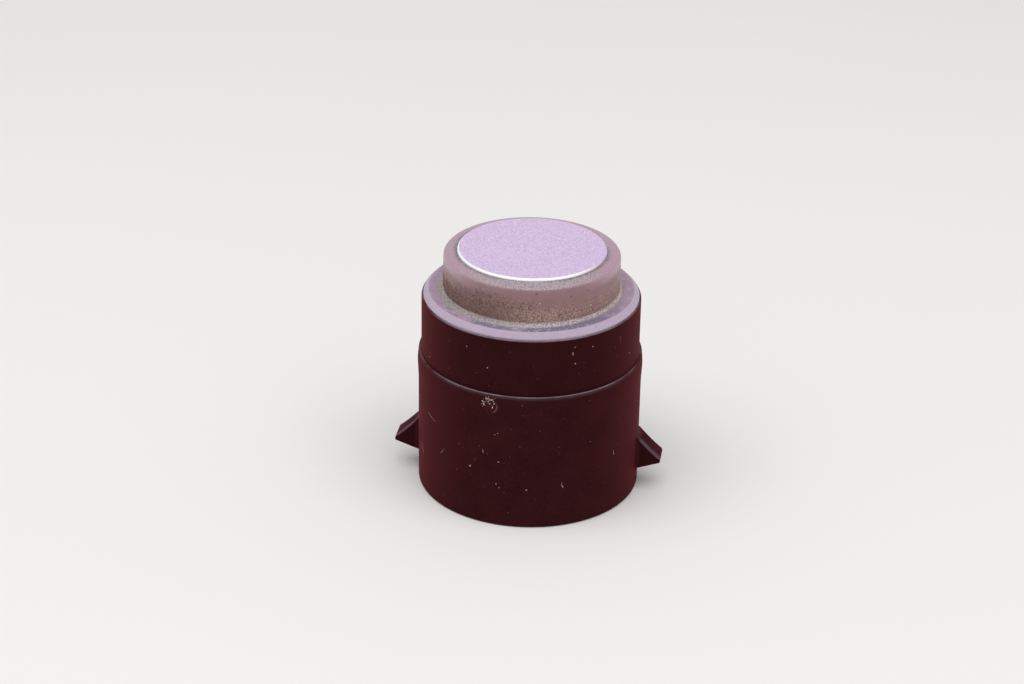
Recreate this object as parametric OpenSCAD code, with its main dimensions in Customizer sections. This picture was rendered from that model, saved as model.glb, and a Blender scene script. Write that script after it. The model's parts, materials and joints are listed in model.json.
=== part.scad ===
// Ultrasonic parking sensor, standing on the rim of its connector end with the sensing face up.
// The origin is the centre of the rear rim, +Z points out of the sensing face and the snap lugs lie along X.
// All sizes are in millimetres.

/* [Sensing cup] */
// Diameter of the cup and of its face
cup_d = 15.5; // [14:0.1:18]
// Height of the cup, from its open rim to its face
cup_h = 8; // [7.5:0.1:10]
// Thickness of the membrane behind the face
membrane_t = 0.7; // [0.4:0.1:1.2]
// Wall of the cup at the round ends of its cavity
cup_wall = 1.6; // [1:0.1:2.2]
// Width of the cavity across its two flats
cavity_w = 9; // [8:0.1:10.5]
// Step out to the rim round the open end
cup_rim_step = 0.85; // [0.5:0.05:1.2]
// Thickness of that rim
cup_rim_t = 1.5; // [1:0.1:2]
// Radius on the edge of the face
face_round = 0.3; // [0.2:0.05:0.6]
// Height of the face above the edge of the neck
face_proud = 0.45; // [0.4:0.05:0.8]
// Diameter of the piezo disc
piezo_d = 7; // [5:0.1:7.8]
// Thickness of the piezo disc
piezo_t = 0.3; // [0.2:0.05:0.6]
// Space between the piezo disc and the damping insert
damping_gap = 0.4; // [0.1:0.1:1]

/* [Decoupling ring] */
// Wall of the neck round the cup
ring_wall = 1.4; // [1:0.1:2]
// Height of the neck above the flange
neck_h = 4.05; // [3:0.05:4.5]
// Rise of the neck's top towards the cup
neck_lip_h = 0.25; // [0.1:0.05:0.35]
// Radius on the top edge of the neck
neck_round = 0.4; // [0.2:0.05:0.6]
// Fillet between the neck and the flange
neck_fillet = 0.35; // [0.1:0.05:0.4]
// Thickness of the flange
flange_t = 0.65; // [0.6:0.05:1]
// Inset of the flange from the outside of the collar
flange_inset = 0.2; // [0:0.05:0.3]
// Width of the bevel round the flange
flange_bevel_w = 0.5; // [0.3:0.05:0.8]
// Height of the bevel round the flange
flange_bevel_h = 0.5; // [0.2:0.05:0.55]
// Wall of the sleeve round the rim of the cup
sleeve_wall = 1.3; // [1:0.1:2]

/* [Housing] */
// Wall of the collar round the sleeve
collar_wall = 1.5; // [1.2:0.1:2]
// Height of the collar, from the shoulder down to the ledge
collar_h = 6.25; // [4:0.05:8]
// Radius on the edge of the shoulder
shoulder_round = 0.25; // [0.1:0.05:0.4]
// Height of the flare at the foot of the collar
flare_h = 1.2; // [0.6:0.1:2]
// Spread of the flare at the foot of the collar
flare_w = 0.08; // [0:0.01:0.12]
// Width of the ledge under the collar
ledge_w = 0.2; // [0.1:0.01:0.25]
// Step from the collar out to the body
body_step = 0.3; // [0.25:0.01:0.6]
// Swell of the guide bead past the body
bead_rise = 0.1; // [0.02:0.01:0.2]
// Height of the guide bead's upper slope
bead_upper_h = 1.1; // [0.6:0.1:2]
// Height of the guide bead's lower slope
bead_lower_h = 2.1; // [1:0.1:3]
// Wall of the skirt at the connector end
skirt_wall = 1.5; // [1.2:0.1:2]
// Radius on the outer edge of the rear rim
rim_round = 0.3; // [0.1:0.05:0.5]
// Thickness of the bulkhead between the socket and the electronics
bulkhead_t = 1.5; // [1:0.1:2.5]
// Width of the seat under the carrier ring
carrier_seat_w = 0.5; // [0.3:0.05:0.8]

/* [Snap lugs] */
// Width of a lug round the body
lug_w = 2.7; // [2:0.1:4]
// Reach of a lug past the body
lug_reach = 2.55; // [1.5:0.05:3.5]
// Height of a lug's root above the rear rim
lug_z = 2.4; // [1:0.1:4]
// Height of a lug along its root
lug_root_h = 3.8; // [2.5:0.1:5]
// Rise of the catch face from root to tip
lug_tip_rise = 0.9; // [0:0.1:1.5]
// Thickness of a lug at its tip
lug_tip_t = 0.4; // [0.1:0.05:0.6]
// Depth of the hollow in a lug's ramp
lug_hollow = 0.08; // [0.05:0.01:0.3]
// Chamfer along the ends of a lug
lug_chamfer = 0.2; // [0.1:0.05:0.4]

/* [Plug socket] */
// Length of the socket
socket_l = 13.4; // [12:0.1:14.5]
// Width of the socket
socket_w = 9; // [8.8:0.1:9.6]
// Offset of the socket away from its latch
socket_offset = 1; // [0.5:0.1:1.4]
// Depth of the socket
socket_depth = 9.9; // [8:0.1:12]
// Radius in the corners of the socket
socket_corner = 2; // [1:0.1:3]
// Wall of the shroud round the socket
shroud_wall = 1.2; // [0.8:0.1:1.5]
// Set-back of the shroud from the rear rim
shroud_recess = 0.4; // [0.1:0.1:1]
// Thickness of the webs between shroud and skirt
web_t = 1; // [0.6:0.1:1.5]
// Set-back of those webs from the rear rim
web_recess = 1.6; // [1:0.1:3]
// Width of a coding rib in the socket
key_w = 1; // [0.6:0.1:1.5]
// Height of a coding rib
key_h = 0.6; // [0.4:0.1:0.8]
// Distance between the two coding ribs
key_pitch = 7; // [5:0.1:8]
// Width of the plug's latch nose on the shroud
latch_w = 3; // [2:0.1:4]
// Height of that nose above the shroud
latch_rise = 0.8; // [0.4:0.1:1.2]

/* [Terminals] */
// Width of a terminal blade
blade_w = 1.2; // [0.8:0.1:1.5]
// Thickness of a terminal blade
blade_t = 0.6; // [0.4:0.1:0.8]
// Distance between terminals
pin_pitch = 3.2; // [2.8:0.1:3.6]
// Set-back of the blade tips from the mouth of the socket
pin_recess = 4.5; // [3:0.1:5]
// Length of a blade's tapered tip
pin_taper = 1; // [0.5:0.1:1.5]
// Barb on each side of a terminal inside the bulkhead
barb_w = 0.3; // [0.1:0.05:0.4]
// Length of a tail past the board
tail_h = 0.9; // [0.6:0.1:1.2]

/* [Electronics] */
// Gap under the circuit board, filled by the sealing compound
board_gap = 1.2; // [0.8:0.1:2]
// Thickness of the circuit board
board_t = 1; // [0.8:0.1:1.6]
// Gap round the circuit board
board_clear = 0.2; // [0.1:0.05:0.4]
// Height of the transformer
transformer_h = 2.9; // [2.4:0.1:4]
// Headroom over the transformer
headroom = 0.4; // [0.2:0.1:1]
// Thickness of the carrier ring
carrier_t = 1.2; // [0.8:0.1:2]
// Lip of the carrier ring under the cup's rim
carrier_lip = 2.1; // [1.2:0.1:2.4]
// Diameter of the two leads
lead_d = 0.4; // [0.2:0.05:0.6]

/* [Hidden] */

$fn = 96;
fit_gap = 0.03;
board_hole_gap = 0.1;
part_gap = 0.3;
over = 1;

// Radii, from the cup outwards
cup_r = cup_d / 2;
cup_rim_r = cup_r + cup_rim_step;
cavity_r = cup_r - cup_wall;
neck_r = cup_r + ring_wall;
sleeve_r = cup_rim_r + sleeve_wall;
collar_r = sleeve_r + collar_wall;
flange_r = collar_r - flange_inset;
body_r = collar_r + body_step;
bead_r = body_r + bead_rise;
chamber_r = sleeve_r - carrier_seat_w;
skirt_r = body_r - skirt_wall;
board_r = chamber_r - board_clear;

// Heights, from the rear rim to the face
shroud_z = shroud_recess;
floor_z = shroud_z + socket_depth;
chamber_z = floor_z + bulkhead_t;
board_z = chamber_z + board_gap;
board_top = board_z + board_t;
carrier_z = board_top + transformer_h + headroom;
cup_z = carrier_z + carrier_t;
face_z = cup_z + cup_h;
ring_top = face_z - face_proud;
flange_top = ring_top - neck_h;
shoulder_z = flange_top - flange_t;
ledge_z = shoulder_z - collar_h;
piezo_z = face_z - membrane_t - piezo_t;

// Socket and its shroud
shroud_l = socket_l + 2 * shroud_wall;
shroud_w = socket_w + 2 * shroud_wall;
shroud_corner = socket_corner + shroud_wall;
socket_y = -socket_offset;
pin_tip_z = shroud_z + pin_recess;
tail_top = board_top + tail_h;
barb_h = bulkhead_t / 2;
pin_tip_w = blade_w / 2;
latch_z = 1.8;
latch_h = 2.2;
latch_nose_h = 0.6;

// Rests, leads and solder of the circuit board
rest_pad_angles = [45, 135, 225, 315];
rest_pad_w = 2.4;
rest_pad_reach = 1.3;
solder_foot = 0.35;
solder_h = 0.6;
pin_solder_r = blade_w / 2 + solder_foot;
lead_solder_r = lead_d / 2 + solder_foot;
lead_hole_gap = 0.2;
piezo_lead_pos = [0, socket_y + pin_solder_r + part_gap + lead_solder_r];
cup_lead_pos = [-(cavity_r + cup_rim_r) / 2, 0];

// Pieces on the circuit board, placed from its edge or from the row of pins
chip_size = [3.9, 4.9, 1.5];
chip_edge_gap = 1.45;
chip_pos = [0, board_r - chip_edge_gap - chip_size[1] / 2];
chip_standoff = 0.15;
chip_leg_w = 0.4;
chip_leg_pitch = 1.27;
chip_leg_count = 4;
chip_leg_t = 0.2;
chip_leg_span = 6;
chip_foot = 0.55;
chip_leg_rise = 0.7;
core_size = [6, 3.4];
core_yoke = 0.65;
core_leg = 1.8;
core_outer_leg = 0.9;
winding_gap = 0.05;
winding_overhang = 0.8;
transformer_pos = [0, socket_y - pin_solder_r - part_gap - winding_overhang - core_size[1] / 2];
capacitor_size = [2.8, 3.5, 1.9];
capacitor_edge_gap = 1.5;
capacitor_pos = [board_r - capacitor_edge_gap - capacitor_size[0] / 2, 0];
capacitor_tab_w = 2.2;
capacitor_tab_t = 0.15;
capacitor_tab_h = 0.9;
chip_part_l = 1.6;
chip_part_w = 0.8;
ceramic_h = 0.8;
resistor_h = 0.45;
chip_part_edge_gap = 2.8;
chip_part_x = board_r - chip_part_edge_gap - chip_part_l / 2;
ceramic_y = 3.3;
resistor_y = ceramic_y + chip_part_w + part_gap;

// Colours
dark_plastic = [0.26, 0.06, 0.07];
lilac_silver = [0.85, 0.74, 0.90];
silicone_grey = [0.67, 0.57, 0.63];

// Web between a square corner and an arc of radius r, in the quadrant [sx, sz] seen from the corner
module corner_web(corner, r, sx, sz) {
    translate(corner)
        difference() {
            translate([min(sx, 0) * r, min(sz, 0) * r])
                square(r);
            translate([sx * r, sz * r])
                circle(r);
        }
}

// Flat rectangle with round corners, centred on the origin
module round_rectangle(l, w, corner) {
    square([l, w - 2 * corner], center = true);
    square([l - 2 * corner, w], center = true);
    for (x = [-1, 1])
        for (y = [-1, 1])
            translate([x * (l / 2 - corner), y * (w / 2 - corner)])
                circle(corner);
}

// Outline of the cavity in the cup: a circle with two flats, which gives the beam its wide, flat shape
module cavity_outline(gap) {
    intersection() {
        circle(cavity_r - gap);
        square([2 * cavity_r, cavity_w - 2 * gap], center = true);
    }
}

// Half section of the turned outside and the bores of the housing
module housing_section() {
    difference() {
        polygon([
            [0, 0],
            [body_r, 0],
            [body_r, ledge_z - bead_upper_h - bead_lower_h],
            [bead_r, ledge_z - bead_upper_h],
            [collar_r + flare_w + ledge_w, ledge_z],
            [collar_r + flare_w, ledge_z],
            [collar_r, ledge_z + flare_h],
            [collar_r, shoulder_z],
            [0, shoulder_z]
        ]);
        corner_web([body_r, 0], rim_round, -1, 1);
        corner_web([collar_r, shoulder_z], shoulder_round, -1, -1);
        translate([0, -over])
            square([skirt_r, floor_z + over]);
        translate([0, chamber_z])
            square([chamber_r, shoulder_z - chamber_z + over]);
        translate([0, carrier_z])
            square([sleeve_r, shoulder_z - carrier_z + over]);
    }
}

// Ramp with a hollow face and a thin tip, drawn as radius against height
module lug_outline() {
    top = [body_r, lug_z + lug_root_h];
    tip_low = [body_r + lug_reach, lug_z + lug_tip_rise];
    tip_high = tip_low + [0, lug_tip_t];
    run = tip_high - top;
    chord = norm(run);
    hollow_r = (chord * chord / 4 + lug_hollow * lug_hollow) / (2 * lug_hollow);
    outward = [-run[1], run[0]] / chord;
    centre = (top + tip_high) / 2 + outward * (hollow_r - lug_hollow);
    difference() {
        polygon([
            [body_r - skirt_wall / 2, lug_z],
            [body_r, lug_z],
            tip_low,
            tip_high,
            top,
            [body_r - skirt_wall / 2, lug_z + lug_root_h]
        ]);
        translate(centre)
            circle(hollow_r, $fn = 360);
    }
}

// Outline of a lug seen from above, with the corners of its tip chamfered
module lug_plan() {
    root_x = body_r - skirt_wall / 2;
    tip_x = body_r + lug_reach;
    half = lug_w / 2;
    polygon([
        [root_x, -half],
        [tip_x - lug_chamfer, -half],
        [tip_x, lug_chamfer - half],
        [tip_x, half - lug_chamfer],
        [tip_x - lug_chamfer, half],
        [root_x, half]
    ]);
}

// Snap lug along +X
module lug() {
    intersection() {
        translate([0, lug_w, 0])
            rotate([90, 0, 0])
                linear_extrude(2 * lug_w)
                    lug_outline();
        translate([0, 0, lug_z - over])
            linear_extrude(lug_root_h + 2 * over)
                lug_plan();
    }
}

// Plug shroud with its coding ribs, latch nose and the webs that tie it to the skirt
module socket_shroud() {
    difference() {
        union() {
            translate([0, socket_y, shroud_z])
                linear_extrude(socket_depth + bulkhead_t / 2)
                    round_rectangle(shroud_l, shroud_w, shroud_corner);
            socket_webs();
            latch_nose();
        }
        translate([0, socket_y, shroud_z - over])
            linear_extrude(socket_depth + over)
                round_rectangle(socket_l, socket_w, socket_corner);
    }
    key_y = socket_y - socket_w / 2 - shroud_wall / 2;
    for (side = [-1, 1])
        translate([side * key_pitch / 2 - key_w / 2, key_y, shroud_z + web_recess])
            cube([key_w, key_h + shroud_wall / 2, socket_depth - web_recess + bulkhead_t / 2]);
}

// Webs from the shroud to the skirt, at both ends and twice on the side away from the latch
module socket_webs() {
    web_h = floor_z - web_recess + bulkhead_t / 2;
    reach = skirt_r + skirt_wall / 2;
    for (side = [-1, 1])
        translate([min(side, 0) * reach, socket_y - web_t / 2, web_recess])
            cube([reach, web_t, web_h]);
    intersection() {
        for (side = [-1, 1])
            translate([side * key_pitch / 2 - web_t / 2, -reach, web_recess])
                cube([web_t, reach, web_h]);
        cylinder(r = reach, h = floor_z + bulkhead_t);
    }
}

// Nose that the plug's latch snaps over, on the +Y side of the shroud
module latch_nose() {
    y = socket_y + shroud_w / 2;
    translate([-latch_w / 2, 0, 0])
        rotate([90, 0, 90])
            linear_extrude(latch_w)
                polygon([
                    [y - shroud_wall / 2, latch_z],
                    [y, latch_z],
                    [y + latch_rise, latch_z + latch_h - latch_nose_h],
                    [y + latch_rise, latch_z + latch_h],
                    [y - shroud_wall / 2, latch_z + latch_h]
                ]);
}

// Pads in the electronics chamber that carry the circuit board
module board_rests() {
    intersection() {
        for (angle = rest_pad_angles)
            rotate([0, 0, angle])
                translate([chamber_r - rest_pad_reach, -rest_pad_w / 2, chamber_z - bulkhead_t / 2])
                    cube([rest_pad_reach + carrier_seat_w, rest_pad_w, board_gap + bulkhead_t / 2]);
        cylinder(r = chamber_r + carrier_seat_w, h = board_z);
    }
}

// One terminal along Z: tapered blade, barbed root in the bulkhead and tail through the board
module terminal_outline() {
    barb_z = floor_z + (bulkhead_t - barb_h) / 2;
    half = blade_w / 2;
    polygon([
        [-pin_tip_w / 2, pin_tip_z],
        [pin_tip_w / 2, pin_tip_z],
        [half, pin_tip_z + pin_taper],
        [half, barb_z],
        [half + barb_w, barb_z],
        [half + barb_w, barb_z + barb_h],
        [half, barb_z + barb_h],
        [half, tail_top],
        [-half, tail_top],
        [-half, barb_z + barb_h],
        [-half - barb_w, barb_z + barb_h],
        [-half - barb_w, barb_z],
        [-half, barb_z],
        [-half, pin_tip_z + pin_taper]
    ]);
}

module terminal(place) {
    color("goldenrod")
        translate([place * pin_pitch, socket_y + blade_t / 2, 0])
            rotate([90, 0, 0])
                linear_extrude(blade_t)
                    terminal_outline();
}

module terminals() {
    for (place = [-1, 0, 1])
        terminal(place);
}

module housing() {
    color(dark_plastic)
        difference() {
            union() {
                rotate_extrude()
                    housing_section();
                for (turn = [0, 180])
                    rotate([0, 0, turn])
                        lug();
                socket_shroud();
                board_rests();
            }
            terminals();
        }
}

// One moulded ring: neck round the cup, flange on the shoulder and sleeve inside the collar
module decoupling_ring() {
    bore_r = cup_r + fit_gap;
    sleeve_fit_r = sleeve_r - fit_gap;
    color(silicone_grey)
        rotate_extrude()
            difference() {
                union() {
                    polygon([
                        [bore_r, cup_z],
                        [sleeve_fit_r, cup_z],
                        [sleeve_fit_r, shoulder_z],
                        [flange_r, shoulder_z],
                        [flange_r, flange_top - flange_bevel_h],
                        [flange_r - flange_bevel_w, flange_top],
                        [neck_r, flange_top],
                        [neck_r, ring_top],
                        [neck_r - neck_round, ring_top],
                        [bore_r, ring_top + neck_lip_h]
                    ]);
                    corner_web([neck_r, flange_top], neck_fillet, 1, 1);
                }
                corner_web([neck_r, ring_top], neck_round, -1, -1);
                translate([0, cup_z - over])
                    square([cup_rim_r + fit_gap, cup_rim_t + fit_gap + over]);
            }
}

// Drawn aluminium cup: painted membrane on top, rim round the open end, oblong cavity inside
module transducer_cup() {
    color(lilac_silver)
        difference() {
            rotate_extrude()
                difference() {
                    polygon([
                        [0, cup_z],
                        [cup_rim_r, cup_z],
                        [cup_rim_r, cup_z + cup_rim_t],
                        [cup_r, cup_z + cup_rim_t],
                        [cup_r, face_z],
                        [0, face_z]
                    ]);
                    corner_web([cup_r, face_z], face_round, -1, -1);
                }
            translate([0, 0, cup_z - over])
                linear_extrude(cup_h - membrane_t + over)
                    cavity_outline(0);
        }
}

module piezo_disc() {
    color("lightgoldenrodyellow")
        translate([0, 0, piezo_z])
            cylinder(d = piezo_d, h = piezo_t);
}

// Soft plug that fills the cup behind the piezo disc, bored for the lead
module damping_insert() {
    color("whitesmoke")
        translate([0, 0, cup_z])
            linear_extrude(piezo_z - damping_gap - cup_z)
                difference() {
                    cavity_outline(fit_gap);
                    translate(piezo_lead_pos)
                        circle(d = lead_d + lead_hole_gap);
                }
}

// Ring under the cup and the sleeve, seated in the housing and bored for the cup's lead
module transducer_carrier() {
    color("dimgray")
        translate([0, 0, carrier_z])
            linear_extrude(carrier_t)
                difference() {
                    circle(sleeve_r - fit_gap);
                    circle(cup_rim_r - carrier_lip);
                    translate(cup_lead_pos)
                        circle(d = lead_d + lead_hole_gap);
                }
}

module lead(place, top) {
    translate([place[0], place[1], board_top])
        cylinder(d = lead_d, h = top - board_top);
}

module piezo_lead() {
    color("firebrick")
        lead(piezo_lead_pos, piezo_z);
}

module cup_lead() {
    color("black")
        lead(cup_lead_pos, cup_z);
}

module circuit_board() {
    color("darkgreen")
        translate([0, 0, board_z])
            linear_extrude(board_t)
                difference() {
                    circle(board_r);
                    for (place = [-1, 0, 1])
                        translate([place * pin_pitch, socket_y])
                            square([blade_w, blade_t] + 2 * board_hole_gap * [1, 1], center = true);
                }
}

// Bent leg of the chip, drawn as distance from the chip's middle against height
module chip_leg() {
    inner = chip_size[0] / 2 - chip_leg_t;
    outer = chip_leg_span / 2;
    knee = outer - chip_foot;
    translate([0, chip_leg_w / 2, 0])
        rotate([90, 0, 0])
            linear_extrude(chip_leg_w)
                polygon([
                    [inner, chip_leg_rise],
                    [inner, chip_leg_rise + chip_leg_t],
                    [knee, chip_leg_rise + chip_leg_t],
                    [knee, chip_leg_t],
                    [outer, chip_leg_t],
                    [outer, 0],
                    [knee - chip_leg_t, 0],
                    [knee - chip_leg_t, chip_leg_rise]
                ]);
}

module driver_chip() {
    color("darkslategray")
        translate([chip_pos[0], chip_pos[1], board_top]) {
            translate([-chip_size[0] / 2, -chip_size[1] / 2, chip_standoff])
                cube(chip_size);
            for (side = [0, 180])
                for (i = [0 : chip_leg_count - 1])
                    translate([0, (i - (chip_leg_count - 1) / 2) * chip_leg_pitch, 0])
                        rotate([0, 0, side])
                            chip_leg();
        }
}

// Ferrite core with two windows beside its middle leg
module transformer_core() {
    window_w = (core_size[0] - core_leg) / 2 - core_outer_leg;
    window_h = transformer_h - 2 * core_yoke;
    color("slategray")
        translate([transformer_pos[0], transformer_pos[1], board_top])
            difference() {
                translate([-core_size[0] / 2, -core_size[1] / 2, 0])
                    cube([core_size[0], core_size[1], transformer_h]);
                for (side = [-1, 1])
                    translate([side * (core_leg + window_w) / 2 - window_w / 2, -core_size[1], core_yoke])
                        cube([window_w, 2 * core_size[1], window_h]);
            }
}

// Copper winding round the middle leg of the core
module transformer_winding() {
    window_w = (core_size[0] - core_leg) / 2 - core_outer_leg;
    inner = [core_leg, core_size[1]] + 2 * winding_gap * [1, 1];
    outer = [core_leg + 2 * (window_w - winding_gap), core_size[1] + 2 * winding_overhang];
    color("peru")
        translate([transformer_pos[0], transformer_pos[1], board_top + core_yoke + winding_gap])
            linear_extrude(transformer_h - 2 * core_yoke - 2 * winding_gap)
                difference() {
                    round_rectangle(outer[0], outer[1], winding_overhang / 2);
                    square(inner, center = true);
                }
}

// Moulded block with a metal tab folded under each end
module storage_capacitor() {
    color("orange")
        translate([capacitor_pos[0], capacitor_pos[1], board_top]) {
            translate([-capacitor_size[0] / 2, -capacitor_size[1] / 2, capacitor_tab_t])
                cube(capacitor_size - [0, 0, capacitor_tab_t]);
            for (side = [-1, 1])
                translate([0, side * (capacitor_size[1] + capacitor_tab_t) / 2, 0]) {
                    translate([-capacitor_tab_w / 2, -capacitor_tab_t / 2, 0])
                        cube([capacitor_tab_w, capacitor_tab_t, capacitor_tab_h]);
                    translate([-capacitor_tab_w / 2, min(-side, 0) * capacitor_tab_h, 0])
                        cube([capacitor_tab_w, capacitor_tab_h, capacitor_tab_t]);
                }
        }
}

// Four small block-shaped parts, one in each quarter of the board
module chip_parts(y, h) {
    for (side = [-1, 1])
        for (end = [-1, 1])
            translate([side * chip_part_x - chip_part_l / 2, end * y - chip_part_w / 2, board_top])
                cube([chip_part_l, chip_part_w, h]);
}

module ceramic_capacitors() {
    color("tan")
        chip_parts(ceramic_y, ceramic_h);
}

module chip_resistors() {
    color("dimgray")
        chip_parts(resistor_y, resistor_h);
}

// Cones of solder round the terminals' tails and the two leads
module solder_joints() {
    color("silver")
        difference() {
            translate([0, 0, board_top]) {
                for (place = [-1, 0, 1])
                    translate([place * pin_pitch, socket_y, 0])
                        cylinder(r1 = pin_solder_r, r2 = blade_w / 2 + board_hole_gap, h = solder_h);
                for (place = [piezo_lead_pos, cup_lead_pos])
                    translate(place)
                        cylinder(r1 = lead_solder_r, r2 = lead_d / 2 + board_hole_gap, h = solder_h);
            }
            terminals();
            lead(piezo_lead_pos, piezo_z);
            lead(cup_lead_pos, cup_z);
        }
}

// Poured between the bulkhead and the board, round the rests and the terminals
module sealing_compound() {
    color("gray")
        difference() {
            translate([0, 0, chamber_z])
                cylinder(r = chamber_r - fit_gap, h = board_gap);
            board_rests();
            terminals();
        }
}

module supply_terminal() { terminal(-1); }
module signal_terminal() { terminal(0); }
module ground_terminal() { terminal(1); }

housing();
decoupling_ring();
transducer_cup();
piezo_disc();
damping_insert();
transducer_carrier();
piezo_lead();
cup_lead();
circuit_board();
driver_chip();
transformer_core();
transformer_winding();
storage_capacitor();
ceramic_capacitors();
chip_resistors();
solder_joints();
sealing_compound();
supply_terminal();
signal_terminal();
ground_terminal();
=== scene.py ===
"""Looks of a round parking sensor: moulded housing, dirty silicone ring and painted sensing cup."""

import json
import math
import random

import bmesh
import bpy
from mathutils import Matrix, Vector


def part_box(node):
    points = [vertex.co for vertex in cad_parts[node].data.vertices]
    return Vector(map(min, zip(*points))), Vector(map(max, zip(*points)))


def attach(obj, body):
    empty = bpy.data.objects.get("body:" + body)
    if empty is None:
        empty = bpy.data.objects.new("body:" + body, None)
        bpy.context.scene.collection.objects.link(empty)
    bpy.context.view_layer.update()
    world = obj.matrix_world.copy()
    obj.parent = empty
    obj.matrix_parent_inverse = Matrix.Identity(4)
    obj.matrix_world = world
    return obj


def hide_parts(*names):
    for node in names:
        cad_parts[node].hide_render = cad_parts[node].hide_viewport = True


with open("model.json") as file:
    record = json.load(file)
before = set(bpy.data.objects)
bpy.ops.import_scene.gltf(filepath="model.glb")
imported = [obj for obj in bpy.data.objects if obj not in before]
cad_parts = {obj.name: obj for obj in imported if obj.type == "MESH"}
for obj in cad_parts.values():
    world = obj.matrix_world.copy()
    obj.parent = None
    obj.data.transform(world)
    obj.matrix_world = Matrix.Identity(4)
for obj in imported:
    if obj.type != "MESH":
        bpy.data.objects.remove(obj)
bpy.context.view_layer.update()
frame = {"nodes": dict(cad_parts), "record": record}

# Lengths are in millimetres up to the finished piece, and angles of marks in degrees
MM = 0.001


def node_box(node):
    """Lowest and highest corner of a node, in millimetres."""
    return [Vector(round(c / MM, 3) for c in corner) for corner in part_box(node)]


# Sizes read from the frame
mounts = {mount["name"]: mount for mount in frame["record"]["mounts"]}
housing_high = node_box("housing")[1]
ring_high = node_box("decoupling_ring")[1]
cup_low, cup_high = node_box("transducer_cup")
carrier_low, carrier_high = node_box("transducer_carrier")
compound_low, compound_high = node_box("sealing_compound")
neck_r = mounts["neck"]["dims"]["r_mm"]
collar_r = mounts["collar"]["dims"]["r_mm"]
flange_top = mounts["bumper_seat"]["pos_m"][2] / MM
socket_y = mounts["plug_socket"]["pos_m"][1] / MM
shroud_z = mounts["plug_socket"]["pos_m"][2] / MM
shoulder_z = housing_high.z
lug_tip_x = housing_high.x
flange_r = round(ring_high.x, 2)
lip_top = ring_high.z
cup_z = cup_low.z
face_z = cup_high.z
cup_rim_r = round(cup_high.x, 2)

# Clearance between the ring, the cup, the carrier and their seats
FIT_GAP = 0.03
sleeve_r = round(carrier_high.x + FIT_GAP, 2)
chamber_r = round(compound_high.x + FIT_GAP, 2)
chamber_z = compound_low.z
board_rest_z = compound_high.z
carrier_z = carrier_low.z

# Housing
BODY_STEP = 0.3
BEAD_RISE = 0.1
BEAD_UPPER_H = 1.1
BEAD_LOWER_H = 2.1
COLLAR_H = 6.25
FLARE_H = 1.2
FLARE_W = 0.08
LEDGE_W = 0.2
SKIRT_WALL = 1.5
BULKHEAD_T = 1.5
RIM_ROUND = 0.3
RIM_INNER_ROUND = 0.15
SHOULDER_ROUND = 0.25
LEDGE_ROUND = 0.14
BEAD_BLEND_R = 4
BLEND_R = 12
body_r = collar_r + BODY_STEP
bead_r = body_r + BEAD_RISE
skirt_r = body_r - SKIRT_WALL
wall_mid_r = body_r - SKIRT_WALL / 2
floor_z = chamber_z - BULKHEAD_T
bulkhead_mid_z = chamber_z - BULKHEAD_T / 2
ledge_z = shoulder_z - COLLAR_H
bead_z = ledge_z - BEAD_UPPER_H
bead_foot_z = bead_z - BEAD_LOWER_H
foot_r = collar_r + FLARE_W
flare_top_z = ledge_z + FLARE_H

# Snap lugs
LUG_W = 2.7
LUG_Z = 2.4
LUG_ROOT_H = 3.8
LUG_TIP_RISE = 0.9
LUG_TIP_T = 0.4
LUG_HOLLOW = 0.08
LUG_EDGE = 0.2
LUG_TIP_EDGE = 0.12
LUG_BAND = 0.3
LUG_STEPS = 10
LUG_ACROSS = 0.9

# Plug socket
SOCKET_L = 13.4
SOCKET_W = 9.0
SOCKET_CORNER = 2.0
SHROUD_WALL = 1.2
SHROUD_EDGE = 0.2
WEB_T = 1.0
WEB_RECESS = 1.6
KEY_W = 1.0
KEY_H = 0.6
KEY_PITCH = 7.0
LATCH_W = 3.0
LATCH_RISE = 0.8
LATCH_Z = 1.8
LATCH_H = 2.2
LATCH_NOSE_H = 0.6
REST_PAD_W = 2.4
REST_PAD_REACH = 1.3
RIB_EDGE = 0.1

# Silicone ring and sensing cup
FLANGE_BEVEL = 0.5
FLANGE_ROUND = 0.12
NECK_ROUND = 0.4
NECK_FILLET = 0.35
NECK_LIP_H = 0.25
BORE_ROUND = 0.06
RING_WALL = 1.4
CUP_RIM_T = 1.5
CUP_WALL = 1.6
CAVITY_W = 9.0
MEMBRANE_T = 0.7
FACE_ROUND = 0.3
cup_r = neck_r - RING_WALL
ring_top = lip_top - NECK_LIP_H
cavity_r = cup_r - CUP_WALL

# Mesh density
SEGMENTS = 256
ARC_STEP = math.radians(12)
EDGE_LOOP = 0.03
WELD = 0.0001
SHARP = math.radians(32)
BEVEL_STEPS = 4
BEVEL_SHAPE = 0.5


def rounded(corners):
    """Points of an outline given as corners (x, y, radius), with each radius turned into an arc."""
    points = []
    for i, (x, y, radius) in enumerate(corners):
        here = Vector((x, y))
        if radius == 0:
            points.append(here)
            continue
        back = (Vector(corners[i - 1][:2]) - here).normalized()
        ahead = (Vector(corners[(i + 1) % len(corners)][:2]) - here).normalized()
        half = back.angle(ahead) / 2
        centre = here + (back + ahead).normalized() * radius / math.sin(half)
        first = here + back * radius / math.tan(half) - centre
        last = here + ahead * radius / math.tan(half) - centre
        sweep = first.angle(last)
        steps = max(2, math.ceil(sweep / ARC_STEP))
        points.append(centre + first + back * EDGE_LOOP)
        for k in range(steps + 1):
            turn = sweep * k / steps
            spoke = first * math.sin(sweep - turn) + last * math.sin(turn)
            points.append(centre + spoke / math.sin(sweep))
        points.append(centre + last + ahead * EDGE_LOOP)
    return points


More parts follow.
